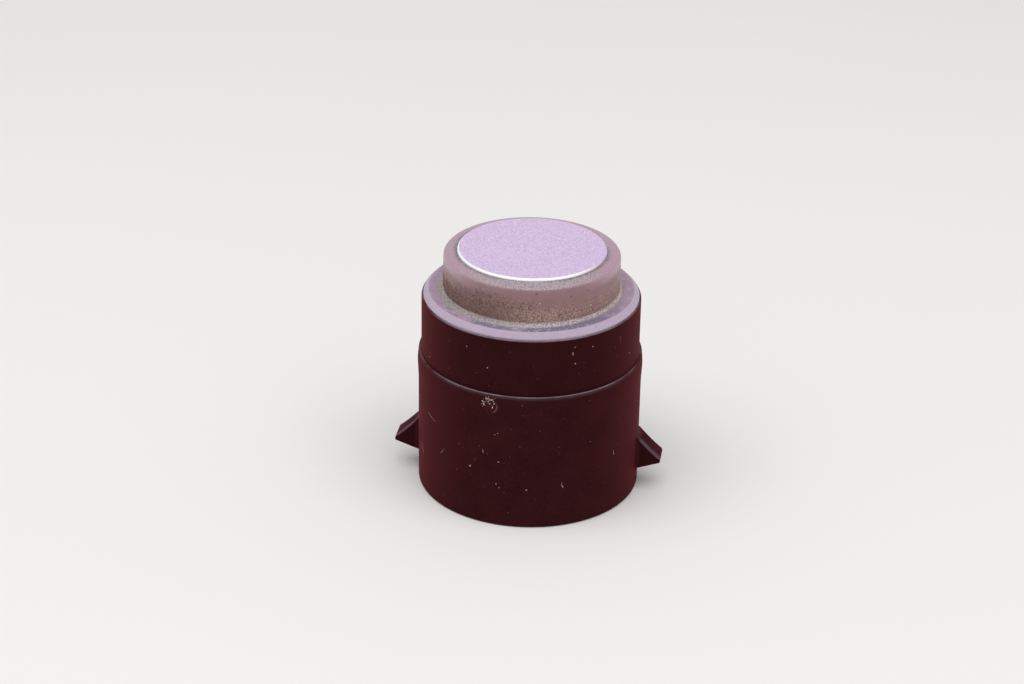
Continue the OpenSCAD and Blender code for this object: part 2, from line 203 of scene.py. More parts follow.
def loft(rings, closed=False):
    """Mesh with a skin between neighbouring rings of equally many points."""
    bm = bmesh.new()
    loops = [[bm.verts.new(point) for point in ring] for ring in rings]
    following = loops[1:] + loops[:1] if closed else loops[1:]
    for low, high in zip(loops, following):
        for i in range(len(low)):
            bm.faces.new((low[i - 1], low[i], high[i], high[i - 1]))
    bmesh.ops.remove_doubles(bm, verts=bm.verts, dist=WELD)
    bmesh.ops.recalc_face_normals(bm, faces=bm.faces)
    return bm


def circle(radius, z, reach=None):
    """Ring of points round the Z axis, cut off by two flats where reach is given."""
    ring = []
    for k in range(SEGMENTS):
        turn = 2 * math.pi * k / SEGMENTS
        y = radius * math.sin(turn)
        r = radius if reach is None or abs(y) <= reach else reach / abs(math.sin(turn))
        ring.append((r * math.cos(turn), r * math.sin(turn), z))
    return ring


def prism(outline, half, place):
    """Bar with the given outline from -half to half, where place turns (x, y, t) into a point."""
    bm = bmesh.new()
    ends = [[bm.verts.new(place(p.x, p.y, t)) for p in outline] for t in (-half, half)]
    for end in ends:
        bm.faces.new(end)
    for i in range(len(outline)):
        bm.faces.new((ends[0][i - 1], ends[0][i], ends[1][i], ends[1][i - 1]))
    bmesh.ops.recalc_face_normals(bm, faces=bm.faces)
    return bm


def block(low, high):
    """Box between two corners."""
    low, high = Vector(low), Vector(high)
    size = Matrix.Diagonal((*(high - low), 1))
    bm = bmesh.new()
    bmesh.ops.create_cube(bm, size=1, matrix=Matrix.Translation((low + high) / 2) @ size)
    return bm


def softened(bm, width, pick=lambda edge: True):
    """The mesh with its sharp edges rounded, or those of them that are picked."""
    edges = [edge for edge in bm.edges if edge.calc_face_angle(0) > SHARP and pick(edge)]
    bmesh.ops.bevel(bm, geom=edges, offset=width, segments=BEVEL_STEPS, profile=BEVEL_SHAPE, affect="EDGES",
                    clamp_overlap=True)
    return bm


def turned_about(bm, degrees):
    """The mesh turned round the Z axis."""
    bmesh.ops.rotate(bm, verts=bm.verts, matrix=Matrix.Rotation(math.radians(degrees), 3, "Z"))
    return bm


def new_object(name, bm):
    """Scene object made from a mesh that isn't needed any more."""
    mesh = bpy.data.meshes.new(name)
    bm.to_mesh(mesh)
    bm.free()
    made = bpy.data.objects.new(name, mesh)
    bpy.context.scene.collection.objects.link(made)
    return made


def joined(meshes):
    """One mesh that holds all the given ones side by side."""
    whole = bmesh.new()
    for bm in meshes:
        mesh = bpy.data.meshes.new("share")
        bm.to_mesh(mesh)
        bm.free()
        whole.from_mesh(mesh)
        bpy.data.meshes.remove(mesh)
    return whole


def united(base, extra):
    """Union of two meshes as one closed mesh."""
    base_object = new_object("union_base", base)
    extra_object = new_object("union_extra", extra)
    modifier = base_object.modifiers.new("union", "BOOLEAN")
    modifier.operation = "UNION"
    modifier.solver = "EXACT"
    modifier.use_self = True
    modifier.object = extra_object
    evaluated = base_object.evaluated_get(bpy.context.evaluated_depsgraph_get())
    whole = bmesh.new()
    whole.from_mesh(evaluated.to_mesh())
    bpy.data.objects.remove(base_object)
    bpy.data.objects.remove(extra_object)
    return whole


def add_piece(name, bm, material, node=None):
    """Finished piece of the object, in metres, riding on the part's one body."""
    bmesh.ops.scale(bm, vec=(MM, MM, MM), verts=bm.verts)
    piece = new_object(name, bm)
    piece.data.shade_smooth()
    piece.data.set_sharp_from_angle(angle=SHARP)
    piece.data.materials.append(material)
    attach(piece, "root")
    if node:
        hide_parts(node)
    return piece


def tone(red, green, blue):
    """Linear colour from its three display values, 0 to 255."""
    shares = [value / 255 for value in (red, green, blue)]
    return [s / 12.92 if s <= 0.04045 else ((s + 0.055) / 1.055) ** 2.4 for s in shares] + [1]


# Share of a photo colour's tint that is taken for light from the red surface under the sensor
RED_LIGHT = 0.2


def seen(red, green, blue):
    """Linear colour from display values seen in the photograph, with part of their tint taken out."""
    grey = (red + green + blue) / 3
    return tone(*(value + RED_LIGHT * (grey - value) for value in (red, green, blue)))


class Surface:
    """Node material with short calls for the nodes that are used here."""

    def __init__(self, name, **constants):
        self.material = bpy.data.materials.new(name)
        self.material.use_nodes = True
        self.tree = self.material.node_tree
        self.shader = self.tree.nodes["Principled BSDF"]
        for socket, value in constants.items():
            self.shader.inputs[socket.replace("_", " ")].default_value = value
        self.place = self.scaled(self.node("ShaderNodeTexCoord").outputs["Object"], 1 / MM)

    def node(self, kind, inputs=None, **settings):
        made = self.tree.nodes.new(kind)
        for key, value in settings.items():
            setattr(made, key, value)
        for key, value in (inputs or {}).items():
            if isinstance(value, bpy.types.NodeSocket):
                self.tree.links.new(value, made.inputs[key])
            else:
                made.inputs[key].default_value = value
        return made

    def feed(self, socket, value):
        self.tree.links.new(value, self.shader.inputs[socket])

    def math(self, operation, a, b=0.0):
        return self.node("ShaderNodeMath", {0: a, 1: b}, operation=operation).outputs[0]

    def plus(self, a, b):
        return self.math("ADD", a, b)

    def minus(self, a, b):
        return self.math("SUBTRACT", a, b)

    def times(self, a, b):
        return self.math("MULTIPLY", a, b)

    def larger(self, a, b):
        return self.math("MAXIMUM", a, b)

    def swing(self, noise, size):
        """Noise turned into a swing about zero."""
        return self.times(self.minus(noise, 0.5), size)

    def span(self, value, start, end, low=0.0, high=1.0):
        """Low up to start, high from end on, with a soft change between them."""
        inputs = {"Value": value, "From Min": start, "From Max": end, "To Min": low, "To Max": high}
        return self.node("ShaderNodeMapRange", inputs, interpolation_type="SMOOTHSTEP").outputs["Result"]

    def mix(self, share, a, b):
        return self.node("ShaderNodeMix", {0: share, 6: a, 7: b}, data_type="RGBA").outputs[2]

    def vector(self, operation, a, b=(0, 0, 0)):
        return self.node("ShaderNodeVectorMath", {0: a, 1: b}, operation=operation)

    def scaled(self, a, factor):
        return self.node("ShaderNodeVectorMath", {0: a, "Scale": factor}, operation="SCALE").outputs[0]

    def stretched(self, x, y, z):
        return self.vector("MULTIPLY", self.place, (x, y, z)).outputs[0]

    def noise(self, scale, detail=2.0, place=None):
        inputs = {"Vector": place or self.place, "Scale": scale, "Detail": detail}
        return self.node("ShaderNodeTexNoise", inputs).outputs["Fac"]

    def cells(self, scale):
        return self.node("ShaderNodeTexVoronoi", {"Vector": self.place, "Scale": scale}).outputs["Color"]

    def height(self):
        return self.node("ShaderNodeSeparateXYZ", {0: self.place}).outputs[2]

    def radius(self):
        return self.vector("LENGTH", self.stretched(1, 1, 0)).outputs["Value"]

    def facing(self, degrees):
        """1 on the side of the object at this angle, -1 on the far side."""
        way = (math.cos(math.radians(degrees)), math.sin(math.radians(degrees)), 0)
        flat = self.vector("NORMALIZE", self.stretched(1, 1, 0)).outputs[0]
        return self.vector("DOT_PRODUCT", flat, way).outputs["Value"]

    def bump(self, relief, depth, strength=1.0):
        inputs = {"Height": relief, "Distance": depth * MM, "Strength": strength}
        self.feed("Normal", self.node("ShaderNodeBump", inputs).outputs[0])


# Depth of the relief on plastic, on grainy surfaces and in dirt, and how far the paint's flakes lean
PLASTIC_RELIEF = 0.004
GRAIN_RELIEF = 0.01
DIRT_RELIEF = 0.05
FLAKE_LEAN = 0.12


def plastic(name, dark, light, roughness):
    """Moulded plastic with a fine texture, soft patches and uneven gloss."""
    surface = Surface(name)
    patches = surface.noise(0.35, 4)
    texture = surface.noise(9, 3)
    surface.feed("Base Color", surface.mix(surface.span(patches, 0.3, 0.7), dark, light))
    surface.feed("Roughness", surface.span(texture, 0.25, 0.75, roughness - 0.05, roughness + 0.07))
    surface.bump(texture, PLASTIC_RELIEF)
    return surface.material


def metal(name, dark, light, roughness):
    """Bare or plated metal with fine drawing marks."""
    surface = Surface(name, Metallic=1)
    marks = surface.noise(6, 3, surface.stretched(3, 3, 0.3))
    surface.feed("Base Color", surface.mix(marks, dark, light))
    surface.feed("Roughness", surface.span(marks, 0.3, 0.7, roughness - 0.06, roughness + 0.08))
    return surface.material


def grainy(name, dark, light, scale, roughness, **constants):
    """Dull surface with two tones mixed in grains."""
    surface = Surface(name, Roughness=roughness, **constants)
    grains = surface.noise(scale, 4)
    surface.feed("Base Color", surface.mix(surface.span(grains, 0.35, 0.65), dark, light))
    surface.bump(grains, GRAIN_RELIEF)
    return surface.material


# Sides of the object, as angles round its axis
FRONT_SIDE = -82
FACE_LIT_SIDE = -108
DIRTY_SIDE = -140
HIGH_DIRT_SIDE = -108
DIRT_BAND_SIDE = -92
WORN_TOP_SIDE = -160
TOP_GRIT_SIDE = -30

# Height that the dirt reaches at the flanks, how far it rises on its high side, and how narrow that rise is
DIRT_MEAN_Z = 23.8
DIRT_SWING = 1.0
DIRT_POWER = 5


def paint():
    """Metallic paint with fine flakes under a clear coat, with a painted highlight along the rounded edge."""
    surface = Surface("cup_paint", Metallic=0.15, Coat_Weight=0.5, Coat_Roughness=0.14)
    flakes = surface.cells(10)
    flake = surface.node("ShaderNodeSeparateColor", {0: flakes}).outputs[0]
    shine = surface.mix(flake, seen(177, 146, 195), seen(228, 196, 243))
    clouds = surface.span(surface.noise(0.5, 3), 0.35, 0.7, 0, 0.3)
    haze = surface.mix(clouds, shine, seen(206, 178, 220))
    # Painted highlight: near-white along the rounded edge on the lit side
    front = surface.span(surface.facing(FACE_LIT_SIDE), -0.15, 0.6)
    edge = surface.times(front, surface.span(surface.radius(), cup_r - 0.24, cup_r - 0.16))
    surface.feed("Base Color", surface.mix(edge, haze, seen(250, 247, 252)))
    surface.feed("Roughness", surface.span(flake, 0, 1, 0.34, 0.5))
    lean = surface.scaled(surface.vector("SUBTRACT", flakes, (0.5, 0.5, 0.5)).outputs[0], FLAKE_LEAN)
    normal = surface.node("ShaderNodeNewGeometry").outputs["Normal"]
    leaning = surface.vector("ADD", normal, lean).outputs[0]
    surface.feed("Normal", surface.vector("NORMALIZE", leaning).outputs[0])
    return surface.material


def silicone():
    """Milky silicone with brown dirt on the neck, pale dust at its foot, a bluish flange and painted
    highlight at the flanks, the top edge and the bevel.
    """
    surface = Surface("silicone", Subsurface_Weight=0.3, Subsurface_Radius=(1.0, 0.7, 0.7),
                      Subsurface_Scale=0.4 * MM)
    mix, span, times, noise = surface.mix, surface.span, surface.times, surface.noise
    facing, plus, minus, larger = surface.facing, surface.plus, surface.minus, surface.larger
    height = surface.height()
    radius = surface.radius()
    front = facing(FRONT_SIDE)
    side = facing(DIRTY_SIDE)
    ragged = noise(2.4, 4)
    grit = noise(11, 5)

    # Wall and top, with painted highlight: paler at the flanks and along the edge
    painted_flank_light = span(front, 0.95, 0.4)
    wall = mix(noise(0.9, 3), seen(157, 114, 118), seen(142, 100, 102))
    edge = span(height, ring_top - 1.3, ring_top - 0.4, 0, 0.75)
    edge = times(edge, larger(painted_flank_light, 0.1))
    wall = mix(edge, wall, seen(192, 158, 178))
    grain = span(noise(7, 3), 0.33, 0.67)
    top = mix(grain, seen(132, 115, 119), seen(186, 169, 176))
    top = mix(times(painted_flank_light, 0.85), top, seen(172, 133, 153))
    colour = mix(span(height, ring_top - 0.25, ring_top - 0.04), wall, top)

    # Worn top along the cup, on two sides
    worn = larger(span(facing(WORN_TOP_SIDE), 0.1, 0.9), span(facing(TOP_GRIT_SIDE), 0.6, 0.95))
    worn = times(worn, span(radius, cup_r + 0.5, cup_r + 0.1))
    worn = times(worn, span(grit, 0.4, 0.54))
    worn = times(worn, span(height, ring_top, ring_top + 0.1))
    colour = mix(worn, colour, seen(104, 92, 92))

    # Brown dirt on the neck up to a ragged edge, streaked away from its dirty side
    lift = times(surface.math("POWER", facing(HIGH_DIRT_SIDE), DIRT_POWER), DIRT_SWING)
    uneven = plus(surface.swing(ragged, 1.6), surface.swing(noise(0.8, 2), 2.0))
    uneven = plus(uneven, surface.swing(grit, 3.2))
    level = minus(height, plus(lift, uneven))
    dirt = span(level, DIRT_MEAN_Z + 0.6, DIRT_MEAN_Z - 0.9)
    streaks = noise(1, 4, surface.stretched(0.25, 0.25, 7))
    thin = times(span(side, 0.5, -0.3), span(streaks, 0.44, 0.56))
    cover = times(dirt, minus(0.95, times(thin, 0.5)))
    grains = span(noise(7, 4), 0.36, 0.72)
    brown = mix(grains, seen(198, 160, 149), seen(122, 86, 74))
    brown = mix(span(side, 0.4, 1, 0, 0.7), brown, seen(96, 62, 54))
    band = times(span(height, DIRT_MEAN_Z - 0.7, DIRT_MEAN_Z + 0.1),
                 span(facing(DIRT_BAND_SIDE), 0.8, 0.97, 0, 0.42))
    band = times(band, span(ragged, 0.38, 0.58))
    brown = mix(band, brown, seen(112, 76, 62))
    colour = mix(cover, colour, brown)
    smudge = times(span(streaks, 0.5, 0.58, 0, 0.6), span(side, 0.3, -0.4))
    smudge = times(smudge, span(height, DIRT_MEAN_Z + 1.3, DIRT_MEAN_Z + 0.6))
    colour = mix(smudge, colour, seen(132, 96, 88))

    # Flange with bluish arcs in front and scuffs, and its bevel made paler as a painted highlight
    arcs = times(span(radius, flange_r - 0.55, flange_r - 0.75), span(noise(0.3, 2), 0.36, 0.48))
    arcs = times(arcs, span(front, 0.2, 0.85))
    flange = mix(arcs, seen(170, 141, 166), seen(116, 108, 138))
    scuffed = span(noise(2.2, 5), 0.52, 0.68, 0, 0.55)
    flange = mix(scuffed, flange, seen(186, 172, 196))
    colour = mix(span(radius, neck_r + 0.3, neck_r + 0.5), colour, flange)
    bevel = mix(noise(1.6, 5), seen(178, 157, 180), seen(193, 171, 196))
    colour = mix(span(radius, flange_r - 0.58, flange_r - 0.5), colour, bevel)

    # Pale dust at the foot of the neck, widest on the dirty side
    reach = plus(span(side, -0.2, 1, 0.24, 0.64), surface.swing(grit, 0.9))
    gap = minus(minus(radius, neck_r), reach)
    dust = times(span(height, flange_top + 0.4, flange_top + 0.22), span(gap, 0.12, -0.1))
    powder = span(noise(6, 3), 0.4, 0.6)
    pale = mix(powder, seen(152, 138, 138), seen(218, 209, 210))
    pale = mix(span(side, 0.2, 1, 0, 0.45), pale, seen(132, 112, 108))
    colour = mix(times(dust, 0.94), colour, pale)

    surface.feed("Base Color", colour)
    soil = larger(cover, dust)
    surface.feed("Roughness", span(soil, 0, 1, 0.42, 0.9))
    surface.bump(grit, DIRT_RELIEF, span(soil, 0, 1, 0.08, 1))
    return surface.material


def housing_finish():
    """Satin moulded plastic with soft smears, a faint red sheen, painted light and shade, and dust mixed with
    painted highlight where it settles.
    """
    surface = Surface("housing_plastic", Specular_IOR_Level=0.01, Specular_Tint=(1, 0.4, 0.42, 1),
                      Sheen_Weight=0.1, Sheen_Roughness=0.45, Sheen_Tint=(1, 0.12, 0.13, 1))
    mix, span, times, noise = surface.mix, surface.span, surface.times, surface.noise
    facing, plus, minus, larger = surface.facing, surface.plus, surface.minus, surface.larger
    height = surface.height()
    radius = surface.radius()
    front = facing(FRONT_SIDE)
    texture = noise(9, 3)

    # Plain wall, with painted shade on the collar and painted light at the flanks
    mottle = plus(noise(0.35, 4), minus(noise(4, 4), 0.5))
    plain = mix(span(mottle, 0.2, 0.8), seen(50, 16, 19), seen(60, 20, 24))
    plain = mix(span(height, ledge_z, ledge_z + 0.3, 0, 0.5), plain, seen(47, 14, 17))
    painted_flank_light = span(surface.math("ABSOLUTE", front), 0.95, 0.2)
    plain = mix(painted_flank_light, plain, seen(73, 24, 29))

    # Lugs with painted shade: faces darker than the body and ramps darker near the root, and a painted
    # highlight along one edge of their ramps
    normal = surface.node("ShaderNodeNewGeometry").outputs["Normal"]
    upward = surface.node("ShaderNodeSeparateXYZ", {0: normal}).outputs[2]
    across = surface.node("ShaderNodeSeparateXYZ", {0: surface.place}).outputs[1]
    on_lug = span(radius, bead_r + 0.1, bead_r + 0.5)
    plain = mix(times(on_lug, 0.8), plain, seen(48, 15, 18))
    clear_of_root_shade = span(radius, bead_r + 0.3, lug_tip_x - 0.5)
    ramp = mix(clear_of_root_shade, seen(42, 14, 18), seen(60, 24, 32))
    painted_ramp_highlight = span(across, 1.0 - LUG_W / 2, 0.2 - LUG_W / 2)
    ramp = mix(painted_ramp_highlight, ramp, seen(98, 72, 86))
    plain = mix(times(on_lug, span(upward, 0.15, 0.5)), plain, ramp)

    # Painted shade in the corner above the ledge
    corner = times(span(height, ledge_z + 0.5, ledge_z + 0.1, 0, 0.6),
                   span(height, ledge_z - 0.01, ledge_z + 0.01))
    plain = mix(corner, plain, seen(36, 8, 11))

    # Dust mixed with painted highlight on what faces up and just below the ledge, patchy away from the front
    least = span(height, ledge_z + 1, shoulder_z - 1, 0.5, 0.34)
    level = span(upward, least, plus(least, 0.45))
    level = times(level, minus(1, on_lug))
    below = times(span(height, ledge_z - 0.4, ledge_z - 0.1, 0, 0.16),
                  span(height, ledge_z + 0.05, ledge_z))
    dust = times(larger(level, below), span(texture, 0.3, 0.6, 0.65, 1))
    patchy = span(noise(0.45, 3), 0.36, 0.62, 0.1, 0.6)
    even = times(span(front, 0.4, 0.75), span(noise(1.1, 3), 0.36, 0.56, 0.75, 1))
    dust = times(dust, larger(even, patchy))
    surface.feed("Base Color", mix(dust, plain, seen(134, 115, 125)))
    surface.feed("Roughness", span(texture, 0.25, 0.75, 0.52, 0.68))
    surface.bump(texture, PLASTIC_RELIEF)
    return surface.material


def housing_mesh():
    """Turned shell of the housing with its lugs, socket shroud, webs, ribs, latch nose and board rests."""
    profile = rounded([
        (0, floor_z, 0),
        (skirt_r, floor_z, 0),
        (skirt_r, 0, RIM_INNER_ROUND),
        (body_r, 0, RIM_ROUND),
        (body_r, LUG_Z - LUG_BAND, 0),
        (body_r, LUG_Z + LUG_ROOT_H + LUG_BAND, 0),
        (body_r, bead_foot_z, BLEND_R),
        (bead_r, bead_z, BEAD_BLEND_R),
        (foot_r + LEDGE_W, ledge_z, LEDGE_ROUND),
        (foot_r, ledge_z, 0),
        (collar_r, flare_top_z, BLEND_R),
        (collar_r, shoulder_z, SHOULDER_ROUND),
        (sleeve_r, shoulder_z, RIM_INNER_ROUND),
        (sleeve_r, carrier_z, 0),
        (chamber_r, carrier_z, 0),
        (chamber_r, chamber_z, 0),
        (0, chamber_z, 0),
    ])
    shell = loft([circle(p.x, p.y) for p in profile])
    extras = [lug(0), lug(180), shroud(), latch_nose(), *webs(), *keys(), *board_rests()]
    return united(shell, joined(extras))


def lug(degrees):
    """Ramp with a hollow face and a thin tip, standing on the body's side."""
    top = Vector((body_r, LUG_Z + LUG_ROOT_H))
    tip_low = Vector((lug_tip_x, LUG_Z + LUG_TIP_RISE))
    tip_high = tip_low + Vector((0, LUG_TIP_T))
    sink = (tip_high - top).orthogonal().normalized() * LUG_HOLLOW
    if sink.x > 0:
        sink = -sink
    ramp = []
    for k in range(LUG_STEPS + 1):
        share = k / LUG_STEPS
        ramp.append(tip_high.lerp(top, share) + sink * 4 * share * (1 - share))
    root = [Vector((wall_mid_r, top.y)), Vector((wall_mid_r, LUG_Z)), Vector((body_r, LUG_Z))]
    bar = prism([tip_low, *ramp, *root], LUG_W / 2, lambda x, z, y: (x, y, z))
    softened(bar, LUG_TIP_EDGE, runs_across)
    softened(bar, LUG_EDGE, lambda edge: not runs_across(edge))
    return turned_about(bar, degrees)


def runs_across(edge):
    """Whether an edge of a lug runs along Y."""
    along = edge.verts[1].co - edge.verts[0].co
    return abs(along.y) > LUG_ACROSS * along.length


def round_rectangle(length, width, corner, z):
    """Ring of points along a rectangle with round corners, centred on the socket."""
    x, y = length / 2, width / 2
    outline = rounded([(x, y, corner), (-x, y, corner), (-x, -y, corner), (x, -y, corner)])
    return [(p.x, p.y + socket_y, z) for p in outline]


def shroud():
    """Tube round the plug socket."""
    outer = (SOCKET_L + 2 * SHROUD_WALL, SOCKET_W + 2 * SHROUD_WALL, SOCKET_CORNER + SHROUD_WALL)
    inner = (SOCKET_L, SOCKET_W, SOCKET_CORNER)
    outer_lip = [size - grow * SHROUD_EDGE for size, grow in zip(outer, (2, 2, 1))]
    inner_lip = [size + grow * SHROUD_EDGE for size, grow in zip(inner, (2, 2, 1))]
    return loft([
        round_rectangle(*outer, bulkhead_mid_z),
        round_rectangle(*outer, shroud_z + SHROUD_EDGE),
        round_rectangle(*outer_lip, shroud_z),
        round_rectangle(*inner_lip, shroud_z),
        round_rectangle(*inner, shroud_z + SHROUD_EDGE),
        round_rectangle(*inner, bulkhead_mid_z),
    ], closed=True)


def latch_nose():
    """Wedge on the shroud that the plug's latch snaps over."""
    foot = socket_y + SOCKET_W / 2 + SHROUD_WALL
    outline = [
        Vector((foot - SHROUD_WALL / 2, LATCH_Z)),
        Vector((foot, LATCH_Z)),
        Vector((foot + LATCH_RISE, LATCH_Z + LATCH_H - LATCH_NOSE_H)),
        Vector((foot + LATCH_RISE, LATCH_Z + LATCH_H)),
        Vector((foot - SHROUD_WALL / 2, LATCH_Z + LATCH_H)),
    ]
    return softened(prism(outline, LATCH_W / 2, lambda y, z, x: (x, y, z)), RIB_EDGE)


def webs():
    """Webs that tie the shroud to the skirt."""
    made = []
    end_x = SOCKET_L / 2 + SHROUD_WALL / 2
    side_y = socket_y - SOCKET_W / 2 - SHROUD_WALL / 2
    for side in (-1, 1):
        x0, x1 = sorted((side * end_x, side * wall_mid_r))
        made.append(block((x0, socket_y - WEB_T / 2, WEB_RECESS), (x1, socket_y + WEB_T / 2, bulkhead_mid_z)))
        x = side * KEY_PITCH / 2
        wall_y = -math.sqrt(wall_mid_r ** 2 - x ** 2)
        made.append(block((x - WEB_T / 2, wall_y, WEB_RECESS), (x + WEB_T / 2, side_y, bulkhead_mid_z)))
    return [softened(web, RIB_EDGE) for web in made]


def keys():
    """Coding ribs inside the socket."""
    made = []
    wall_y = socket_y - SOCKET_W / 2
    for side in (-1, 1):
        x = side * KEY_PITCH / 2
        low = (x - KEY_W / 2, wall_y - SHROUD_WALL / 2, shroud_z + WEB_RECESS)
        made.append(softened(block(low, (x + KEY_W / 2, wall_y + KEY_H, bulkhead_mid_z)), RIB_EDGE))
    return made


def board_rests():
    """Pads in the closed chamber that carry the circuit board."""
    low = (chamber_r - REST_PAD_REACH, -REST_PAD_W / 2, bulkhead_mid_z)
    high = ((chamber_r + sleeve_r) / 2, REST_PAD_W / 2, board_rest_z)
    return [turned_about(block(low, high), degrees) for degrees in (45, 135, 225, 315)]


def ring_mesh():
    """Silicone ring: neck round the cup, flange on the shoulder and sleeve inside the collar."""
    bore_r = cup_r + FIT_GAP / 2
    slope = NECK_LIP_H / (neck_r - NECK_ROUND - bore_r)
    groove_r = cup_rim_r + FIT_GAP
    groove_z = cup_z + CUP_RIM_T + FIT_GAP
    profile = rounded([
        (groove_r, cup_z, 0),
        (sleeve_r - FIT_GAP, cup_z, 0),
        (sleeve_r - FIT_GAP, shoulder_z, 0),
        (flange_r, shoulder_z, 0),
        (flange_r, flange_top - FLANGE_BEVEL, FLANGE_ROUND / 2),
        (flange_r - FLANGE_BEVEL, flange_top, FLANGE_ROUND),
        (neck_r, flange_top, NECK_FILLET),
        (neck_r, ring_top - NECK_ROUND * slope, NECK_ROUND),
        (bore_r, lip_top, BORE_ROUND),
        (bore_r, groove_z, 0),
        (groove_r, groove_z, 0),
    ])
    return loft([circle(p.x, p.y) for p in profile], closed=True)


def cup_mesh():
    """Drawn cup with a rounded face, a rim round its open end and an oblong cavity."""
    outside = rounded([
        (cup_rim_r, cup_z, 0),
        (cup_rim_r, cup_z + CUP_RIM_T, 0),
        (cup_r, cup_z + CUP_RIM_T, 0),
        (cup_r, face_z, FACE_ROUND),
        (0, face_z, 0),
    ])
    roof_z = face_z - MEMBRANE_T
    reach = CAVITY_W / 2
    inside = [circle(0, roof_z), circle(cavity_r, roof_z, reach), circle(cavity_r, cup_z, reach)]
    return loft(inside + [circle(p.x, p.y) for p in outside])


# Outside of the housing as (height, radius), for what lies on it
WALL = [
    (0, body_r), (bead_foot_z, body_r), (bead_z, bead_r), (ledge_z, foot_r + LEDGE_W),
    (ledge_z, foot_r), (flare_top_z, collar_r), (shoulder_z, collar_r),
]


def wall_r(z):
    """Radius of the housing's outside at a height."""
    for (z0, r0), (z1, r1) in zip(WALL, WALL[1:]):
        if z0 <= z < z1:
            return r0 + (r1 - r0) * (z - z0) / (z1 - z0)
    return collar_r


def spot(degrees, radius, z):
    """Point at an angle, a radius and a height."""
    turn = math.radians(degrees)
    return Vector((radius * math.cos(turn), radius * math.sin(turn), z))


# Grains: length, width and unevenness, as shares of the size
GRAIN_LENGTH = (0.9, 1.25)
GRAIN_WIDTH = (0.7, 1.0)
GRAIN_UNEVEN = (0.8, 1.2)


def pebble(bm, centre, normal, size, flatness, rng):
    """Small uneven grain that lies on a surface with this normal."""
    lie = normal.to_track_quat("Z", "Y").to_matrix().to_4x4()
    spin = Matrix.Rotation(rng.uniform(0, 2 * math.pi), 4, "Z")
    length = size / 2 * rng.uniform(*GRAIN_LENGTH)
    width = size / 2 * rng.uniform(*GRAIN_WIDTH)
    form = Matrix.Diagonal((length, width, size * flatness, 1))
    made = bmesh.ops.create_icosphere(bm, subdivisions=1, radius=1,
                                      matrix=Matrix.Translation(centre) @ lie @ spin @ form)
    for vert in made["verts"]:
        vert.co = centre + (vert.co - centre) * rng.uniform(*GRAIN_UNEVEN)


# Raised marks: steps along them, how far they stand out, and how deep their edges and undersides lie
MARK_STEPS = 14
SCRATCH_RISE = 0.012
SMEAR_RISE = 0.008
MARK_SINK = 0.004
MARK_DEPTH = 0.016


def scratch(start, end, bow, width, rise=SCRATCH_RISE):
    """Thin raised mark on the housing from one (angle, height) to another, tapered at both ends."""
    rings = []
    for k in range(MARK_STEPS + 1):
        share = k / MARK_STEPS
        swell = math.sin(math.pi * share)
        degrees = start[0] + (end[0] - start[0]) * share + bow * swell
        z = start[1] + (end[1] - start[1]) * share
        radius = wall_r(z)
        half_turn = math.degrees(width / 2 * swell / radius)
        half_rise = width / 4 * swell
        rings.append([
            spot(degrees - half_turn, radius - MARK_SINK, z - half_rise),
            spot(degrees, radius + rise * swell - MARK_SINK, z),
            spot(degrees + half_turn, radius - MARK_SINK, z + half_rise),
            spot(degrees, radius - MARK_DEPTH * swell - MARK_SINK, z),
        ])
    return loft(rings)


# Marks on the front: specks as (angle, height, size), scratches and smears as start, end, bow, width
SPECKS = [
    (-112.5, 6.3, 0.26), (-97, 7.5, 0.19), (-99, 10.6, 0.13), (-97.5, 10.8, 0.12), (-98, 4.9, 0.17),
    (-96.5, 4.5, 0.15), (-82.5, 4.5, 0.2), (-58.5, 18.5, 0.22), (-48.5, 20.0, 0.18), (-116, 19.7, 0.15),
    (-104, 17.9, 0.17), (-19, 17.2, 0.14), (-147, 16.1, 0.16), (-146.5, 16.6, 0.12), (-64.5, 5.1, 0.12),
]
SCRATCHES = [
    ((-147, 10.1), (-136, 9.4), -1.5, 0.12),
    ((-134.5, 5.9), (-129.5, 7.2), 0.4, 0.12),
    ((-158, 5.4), (-151.5, 4.1), 0.6, 0.14),
    ((-105.5, 8.8), (-105, 8.1), 0, 0.08),
    ((-65, 5.1), (-63.5, 4.4), 0, 0.14),
    ((-60, 19.9), (-59.8, 19.4), 0, 0.15),
    ((-59.3, 20.2), (-58.2, 20.5), 0, 0.11),
    ((-31, 7.6), (-28, 7.8), 0.2, 0.09),
    ((-33, 7.3), (-32.5, 6.5), -0.4, 0.09),
]
SMEARS = [
    ((-155, 4.6), (-152, 2.9), -0.4, 0.4),
    ((-30, 20.4), (-28, 18.6), 0.3, 0.3),
]
SPECK_FLATNESS = 0.25

# Marks placed by chance: fine specks all round, and scratches on the back
SCATTER_SEED = 11
FINE_SPECKS = 220
FINE_SPECK_SIZE = (0.04, 0.09)
FINE_SPECK_MARGIN = 1
BACK_SCRATCHES = 12
BACK_SIDE = (20, 160)
BACK_MARGIN = 2
BACK_TURN = 7
BACK_CLIMB = 1.2
BACK_BOW = 1
BACK_WIDTH = (0.06, 0.1)


def speck_mesh():
    """Pale specks stuck to the front of the housing."""
    rng = random.Random(SCATTER_SEED)
    bm = bmesh.new()
    for degrees, z, size in SPECKS:
        pebble(bm, spot(degrees, wall_r(z), z), spot(degrees, 1, 0), size, SPECK_FLATNESS, rng)
    return bm


def fine_speck_mesh():
    """Fine dull specks all round the housing."""
    rng = random.Random(SCATTER_SEED + 4)
    bm = bmesh.new()
    for _ in range(FINE_SPECKS):
        degrees = rng.uniform(-180, 180)
        z = rng.uniform(FINE_SPECK_MARGIN, shoulder_z - FINE_SPECK_MARGIN)
        size = rng.uniform(*FINE_SPECK_SIZE)
        pebble(bm, spot(degrees, wall_r(z), z), spot(degrees, 1, 0), size, SPECK_FLATNESS, rng)
    return bm


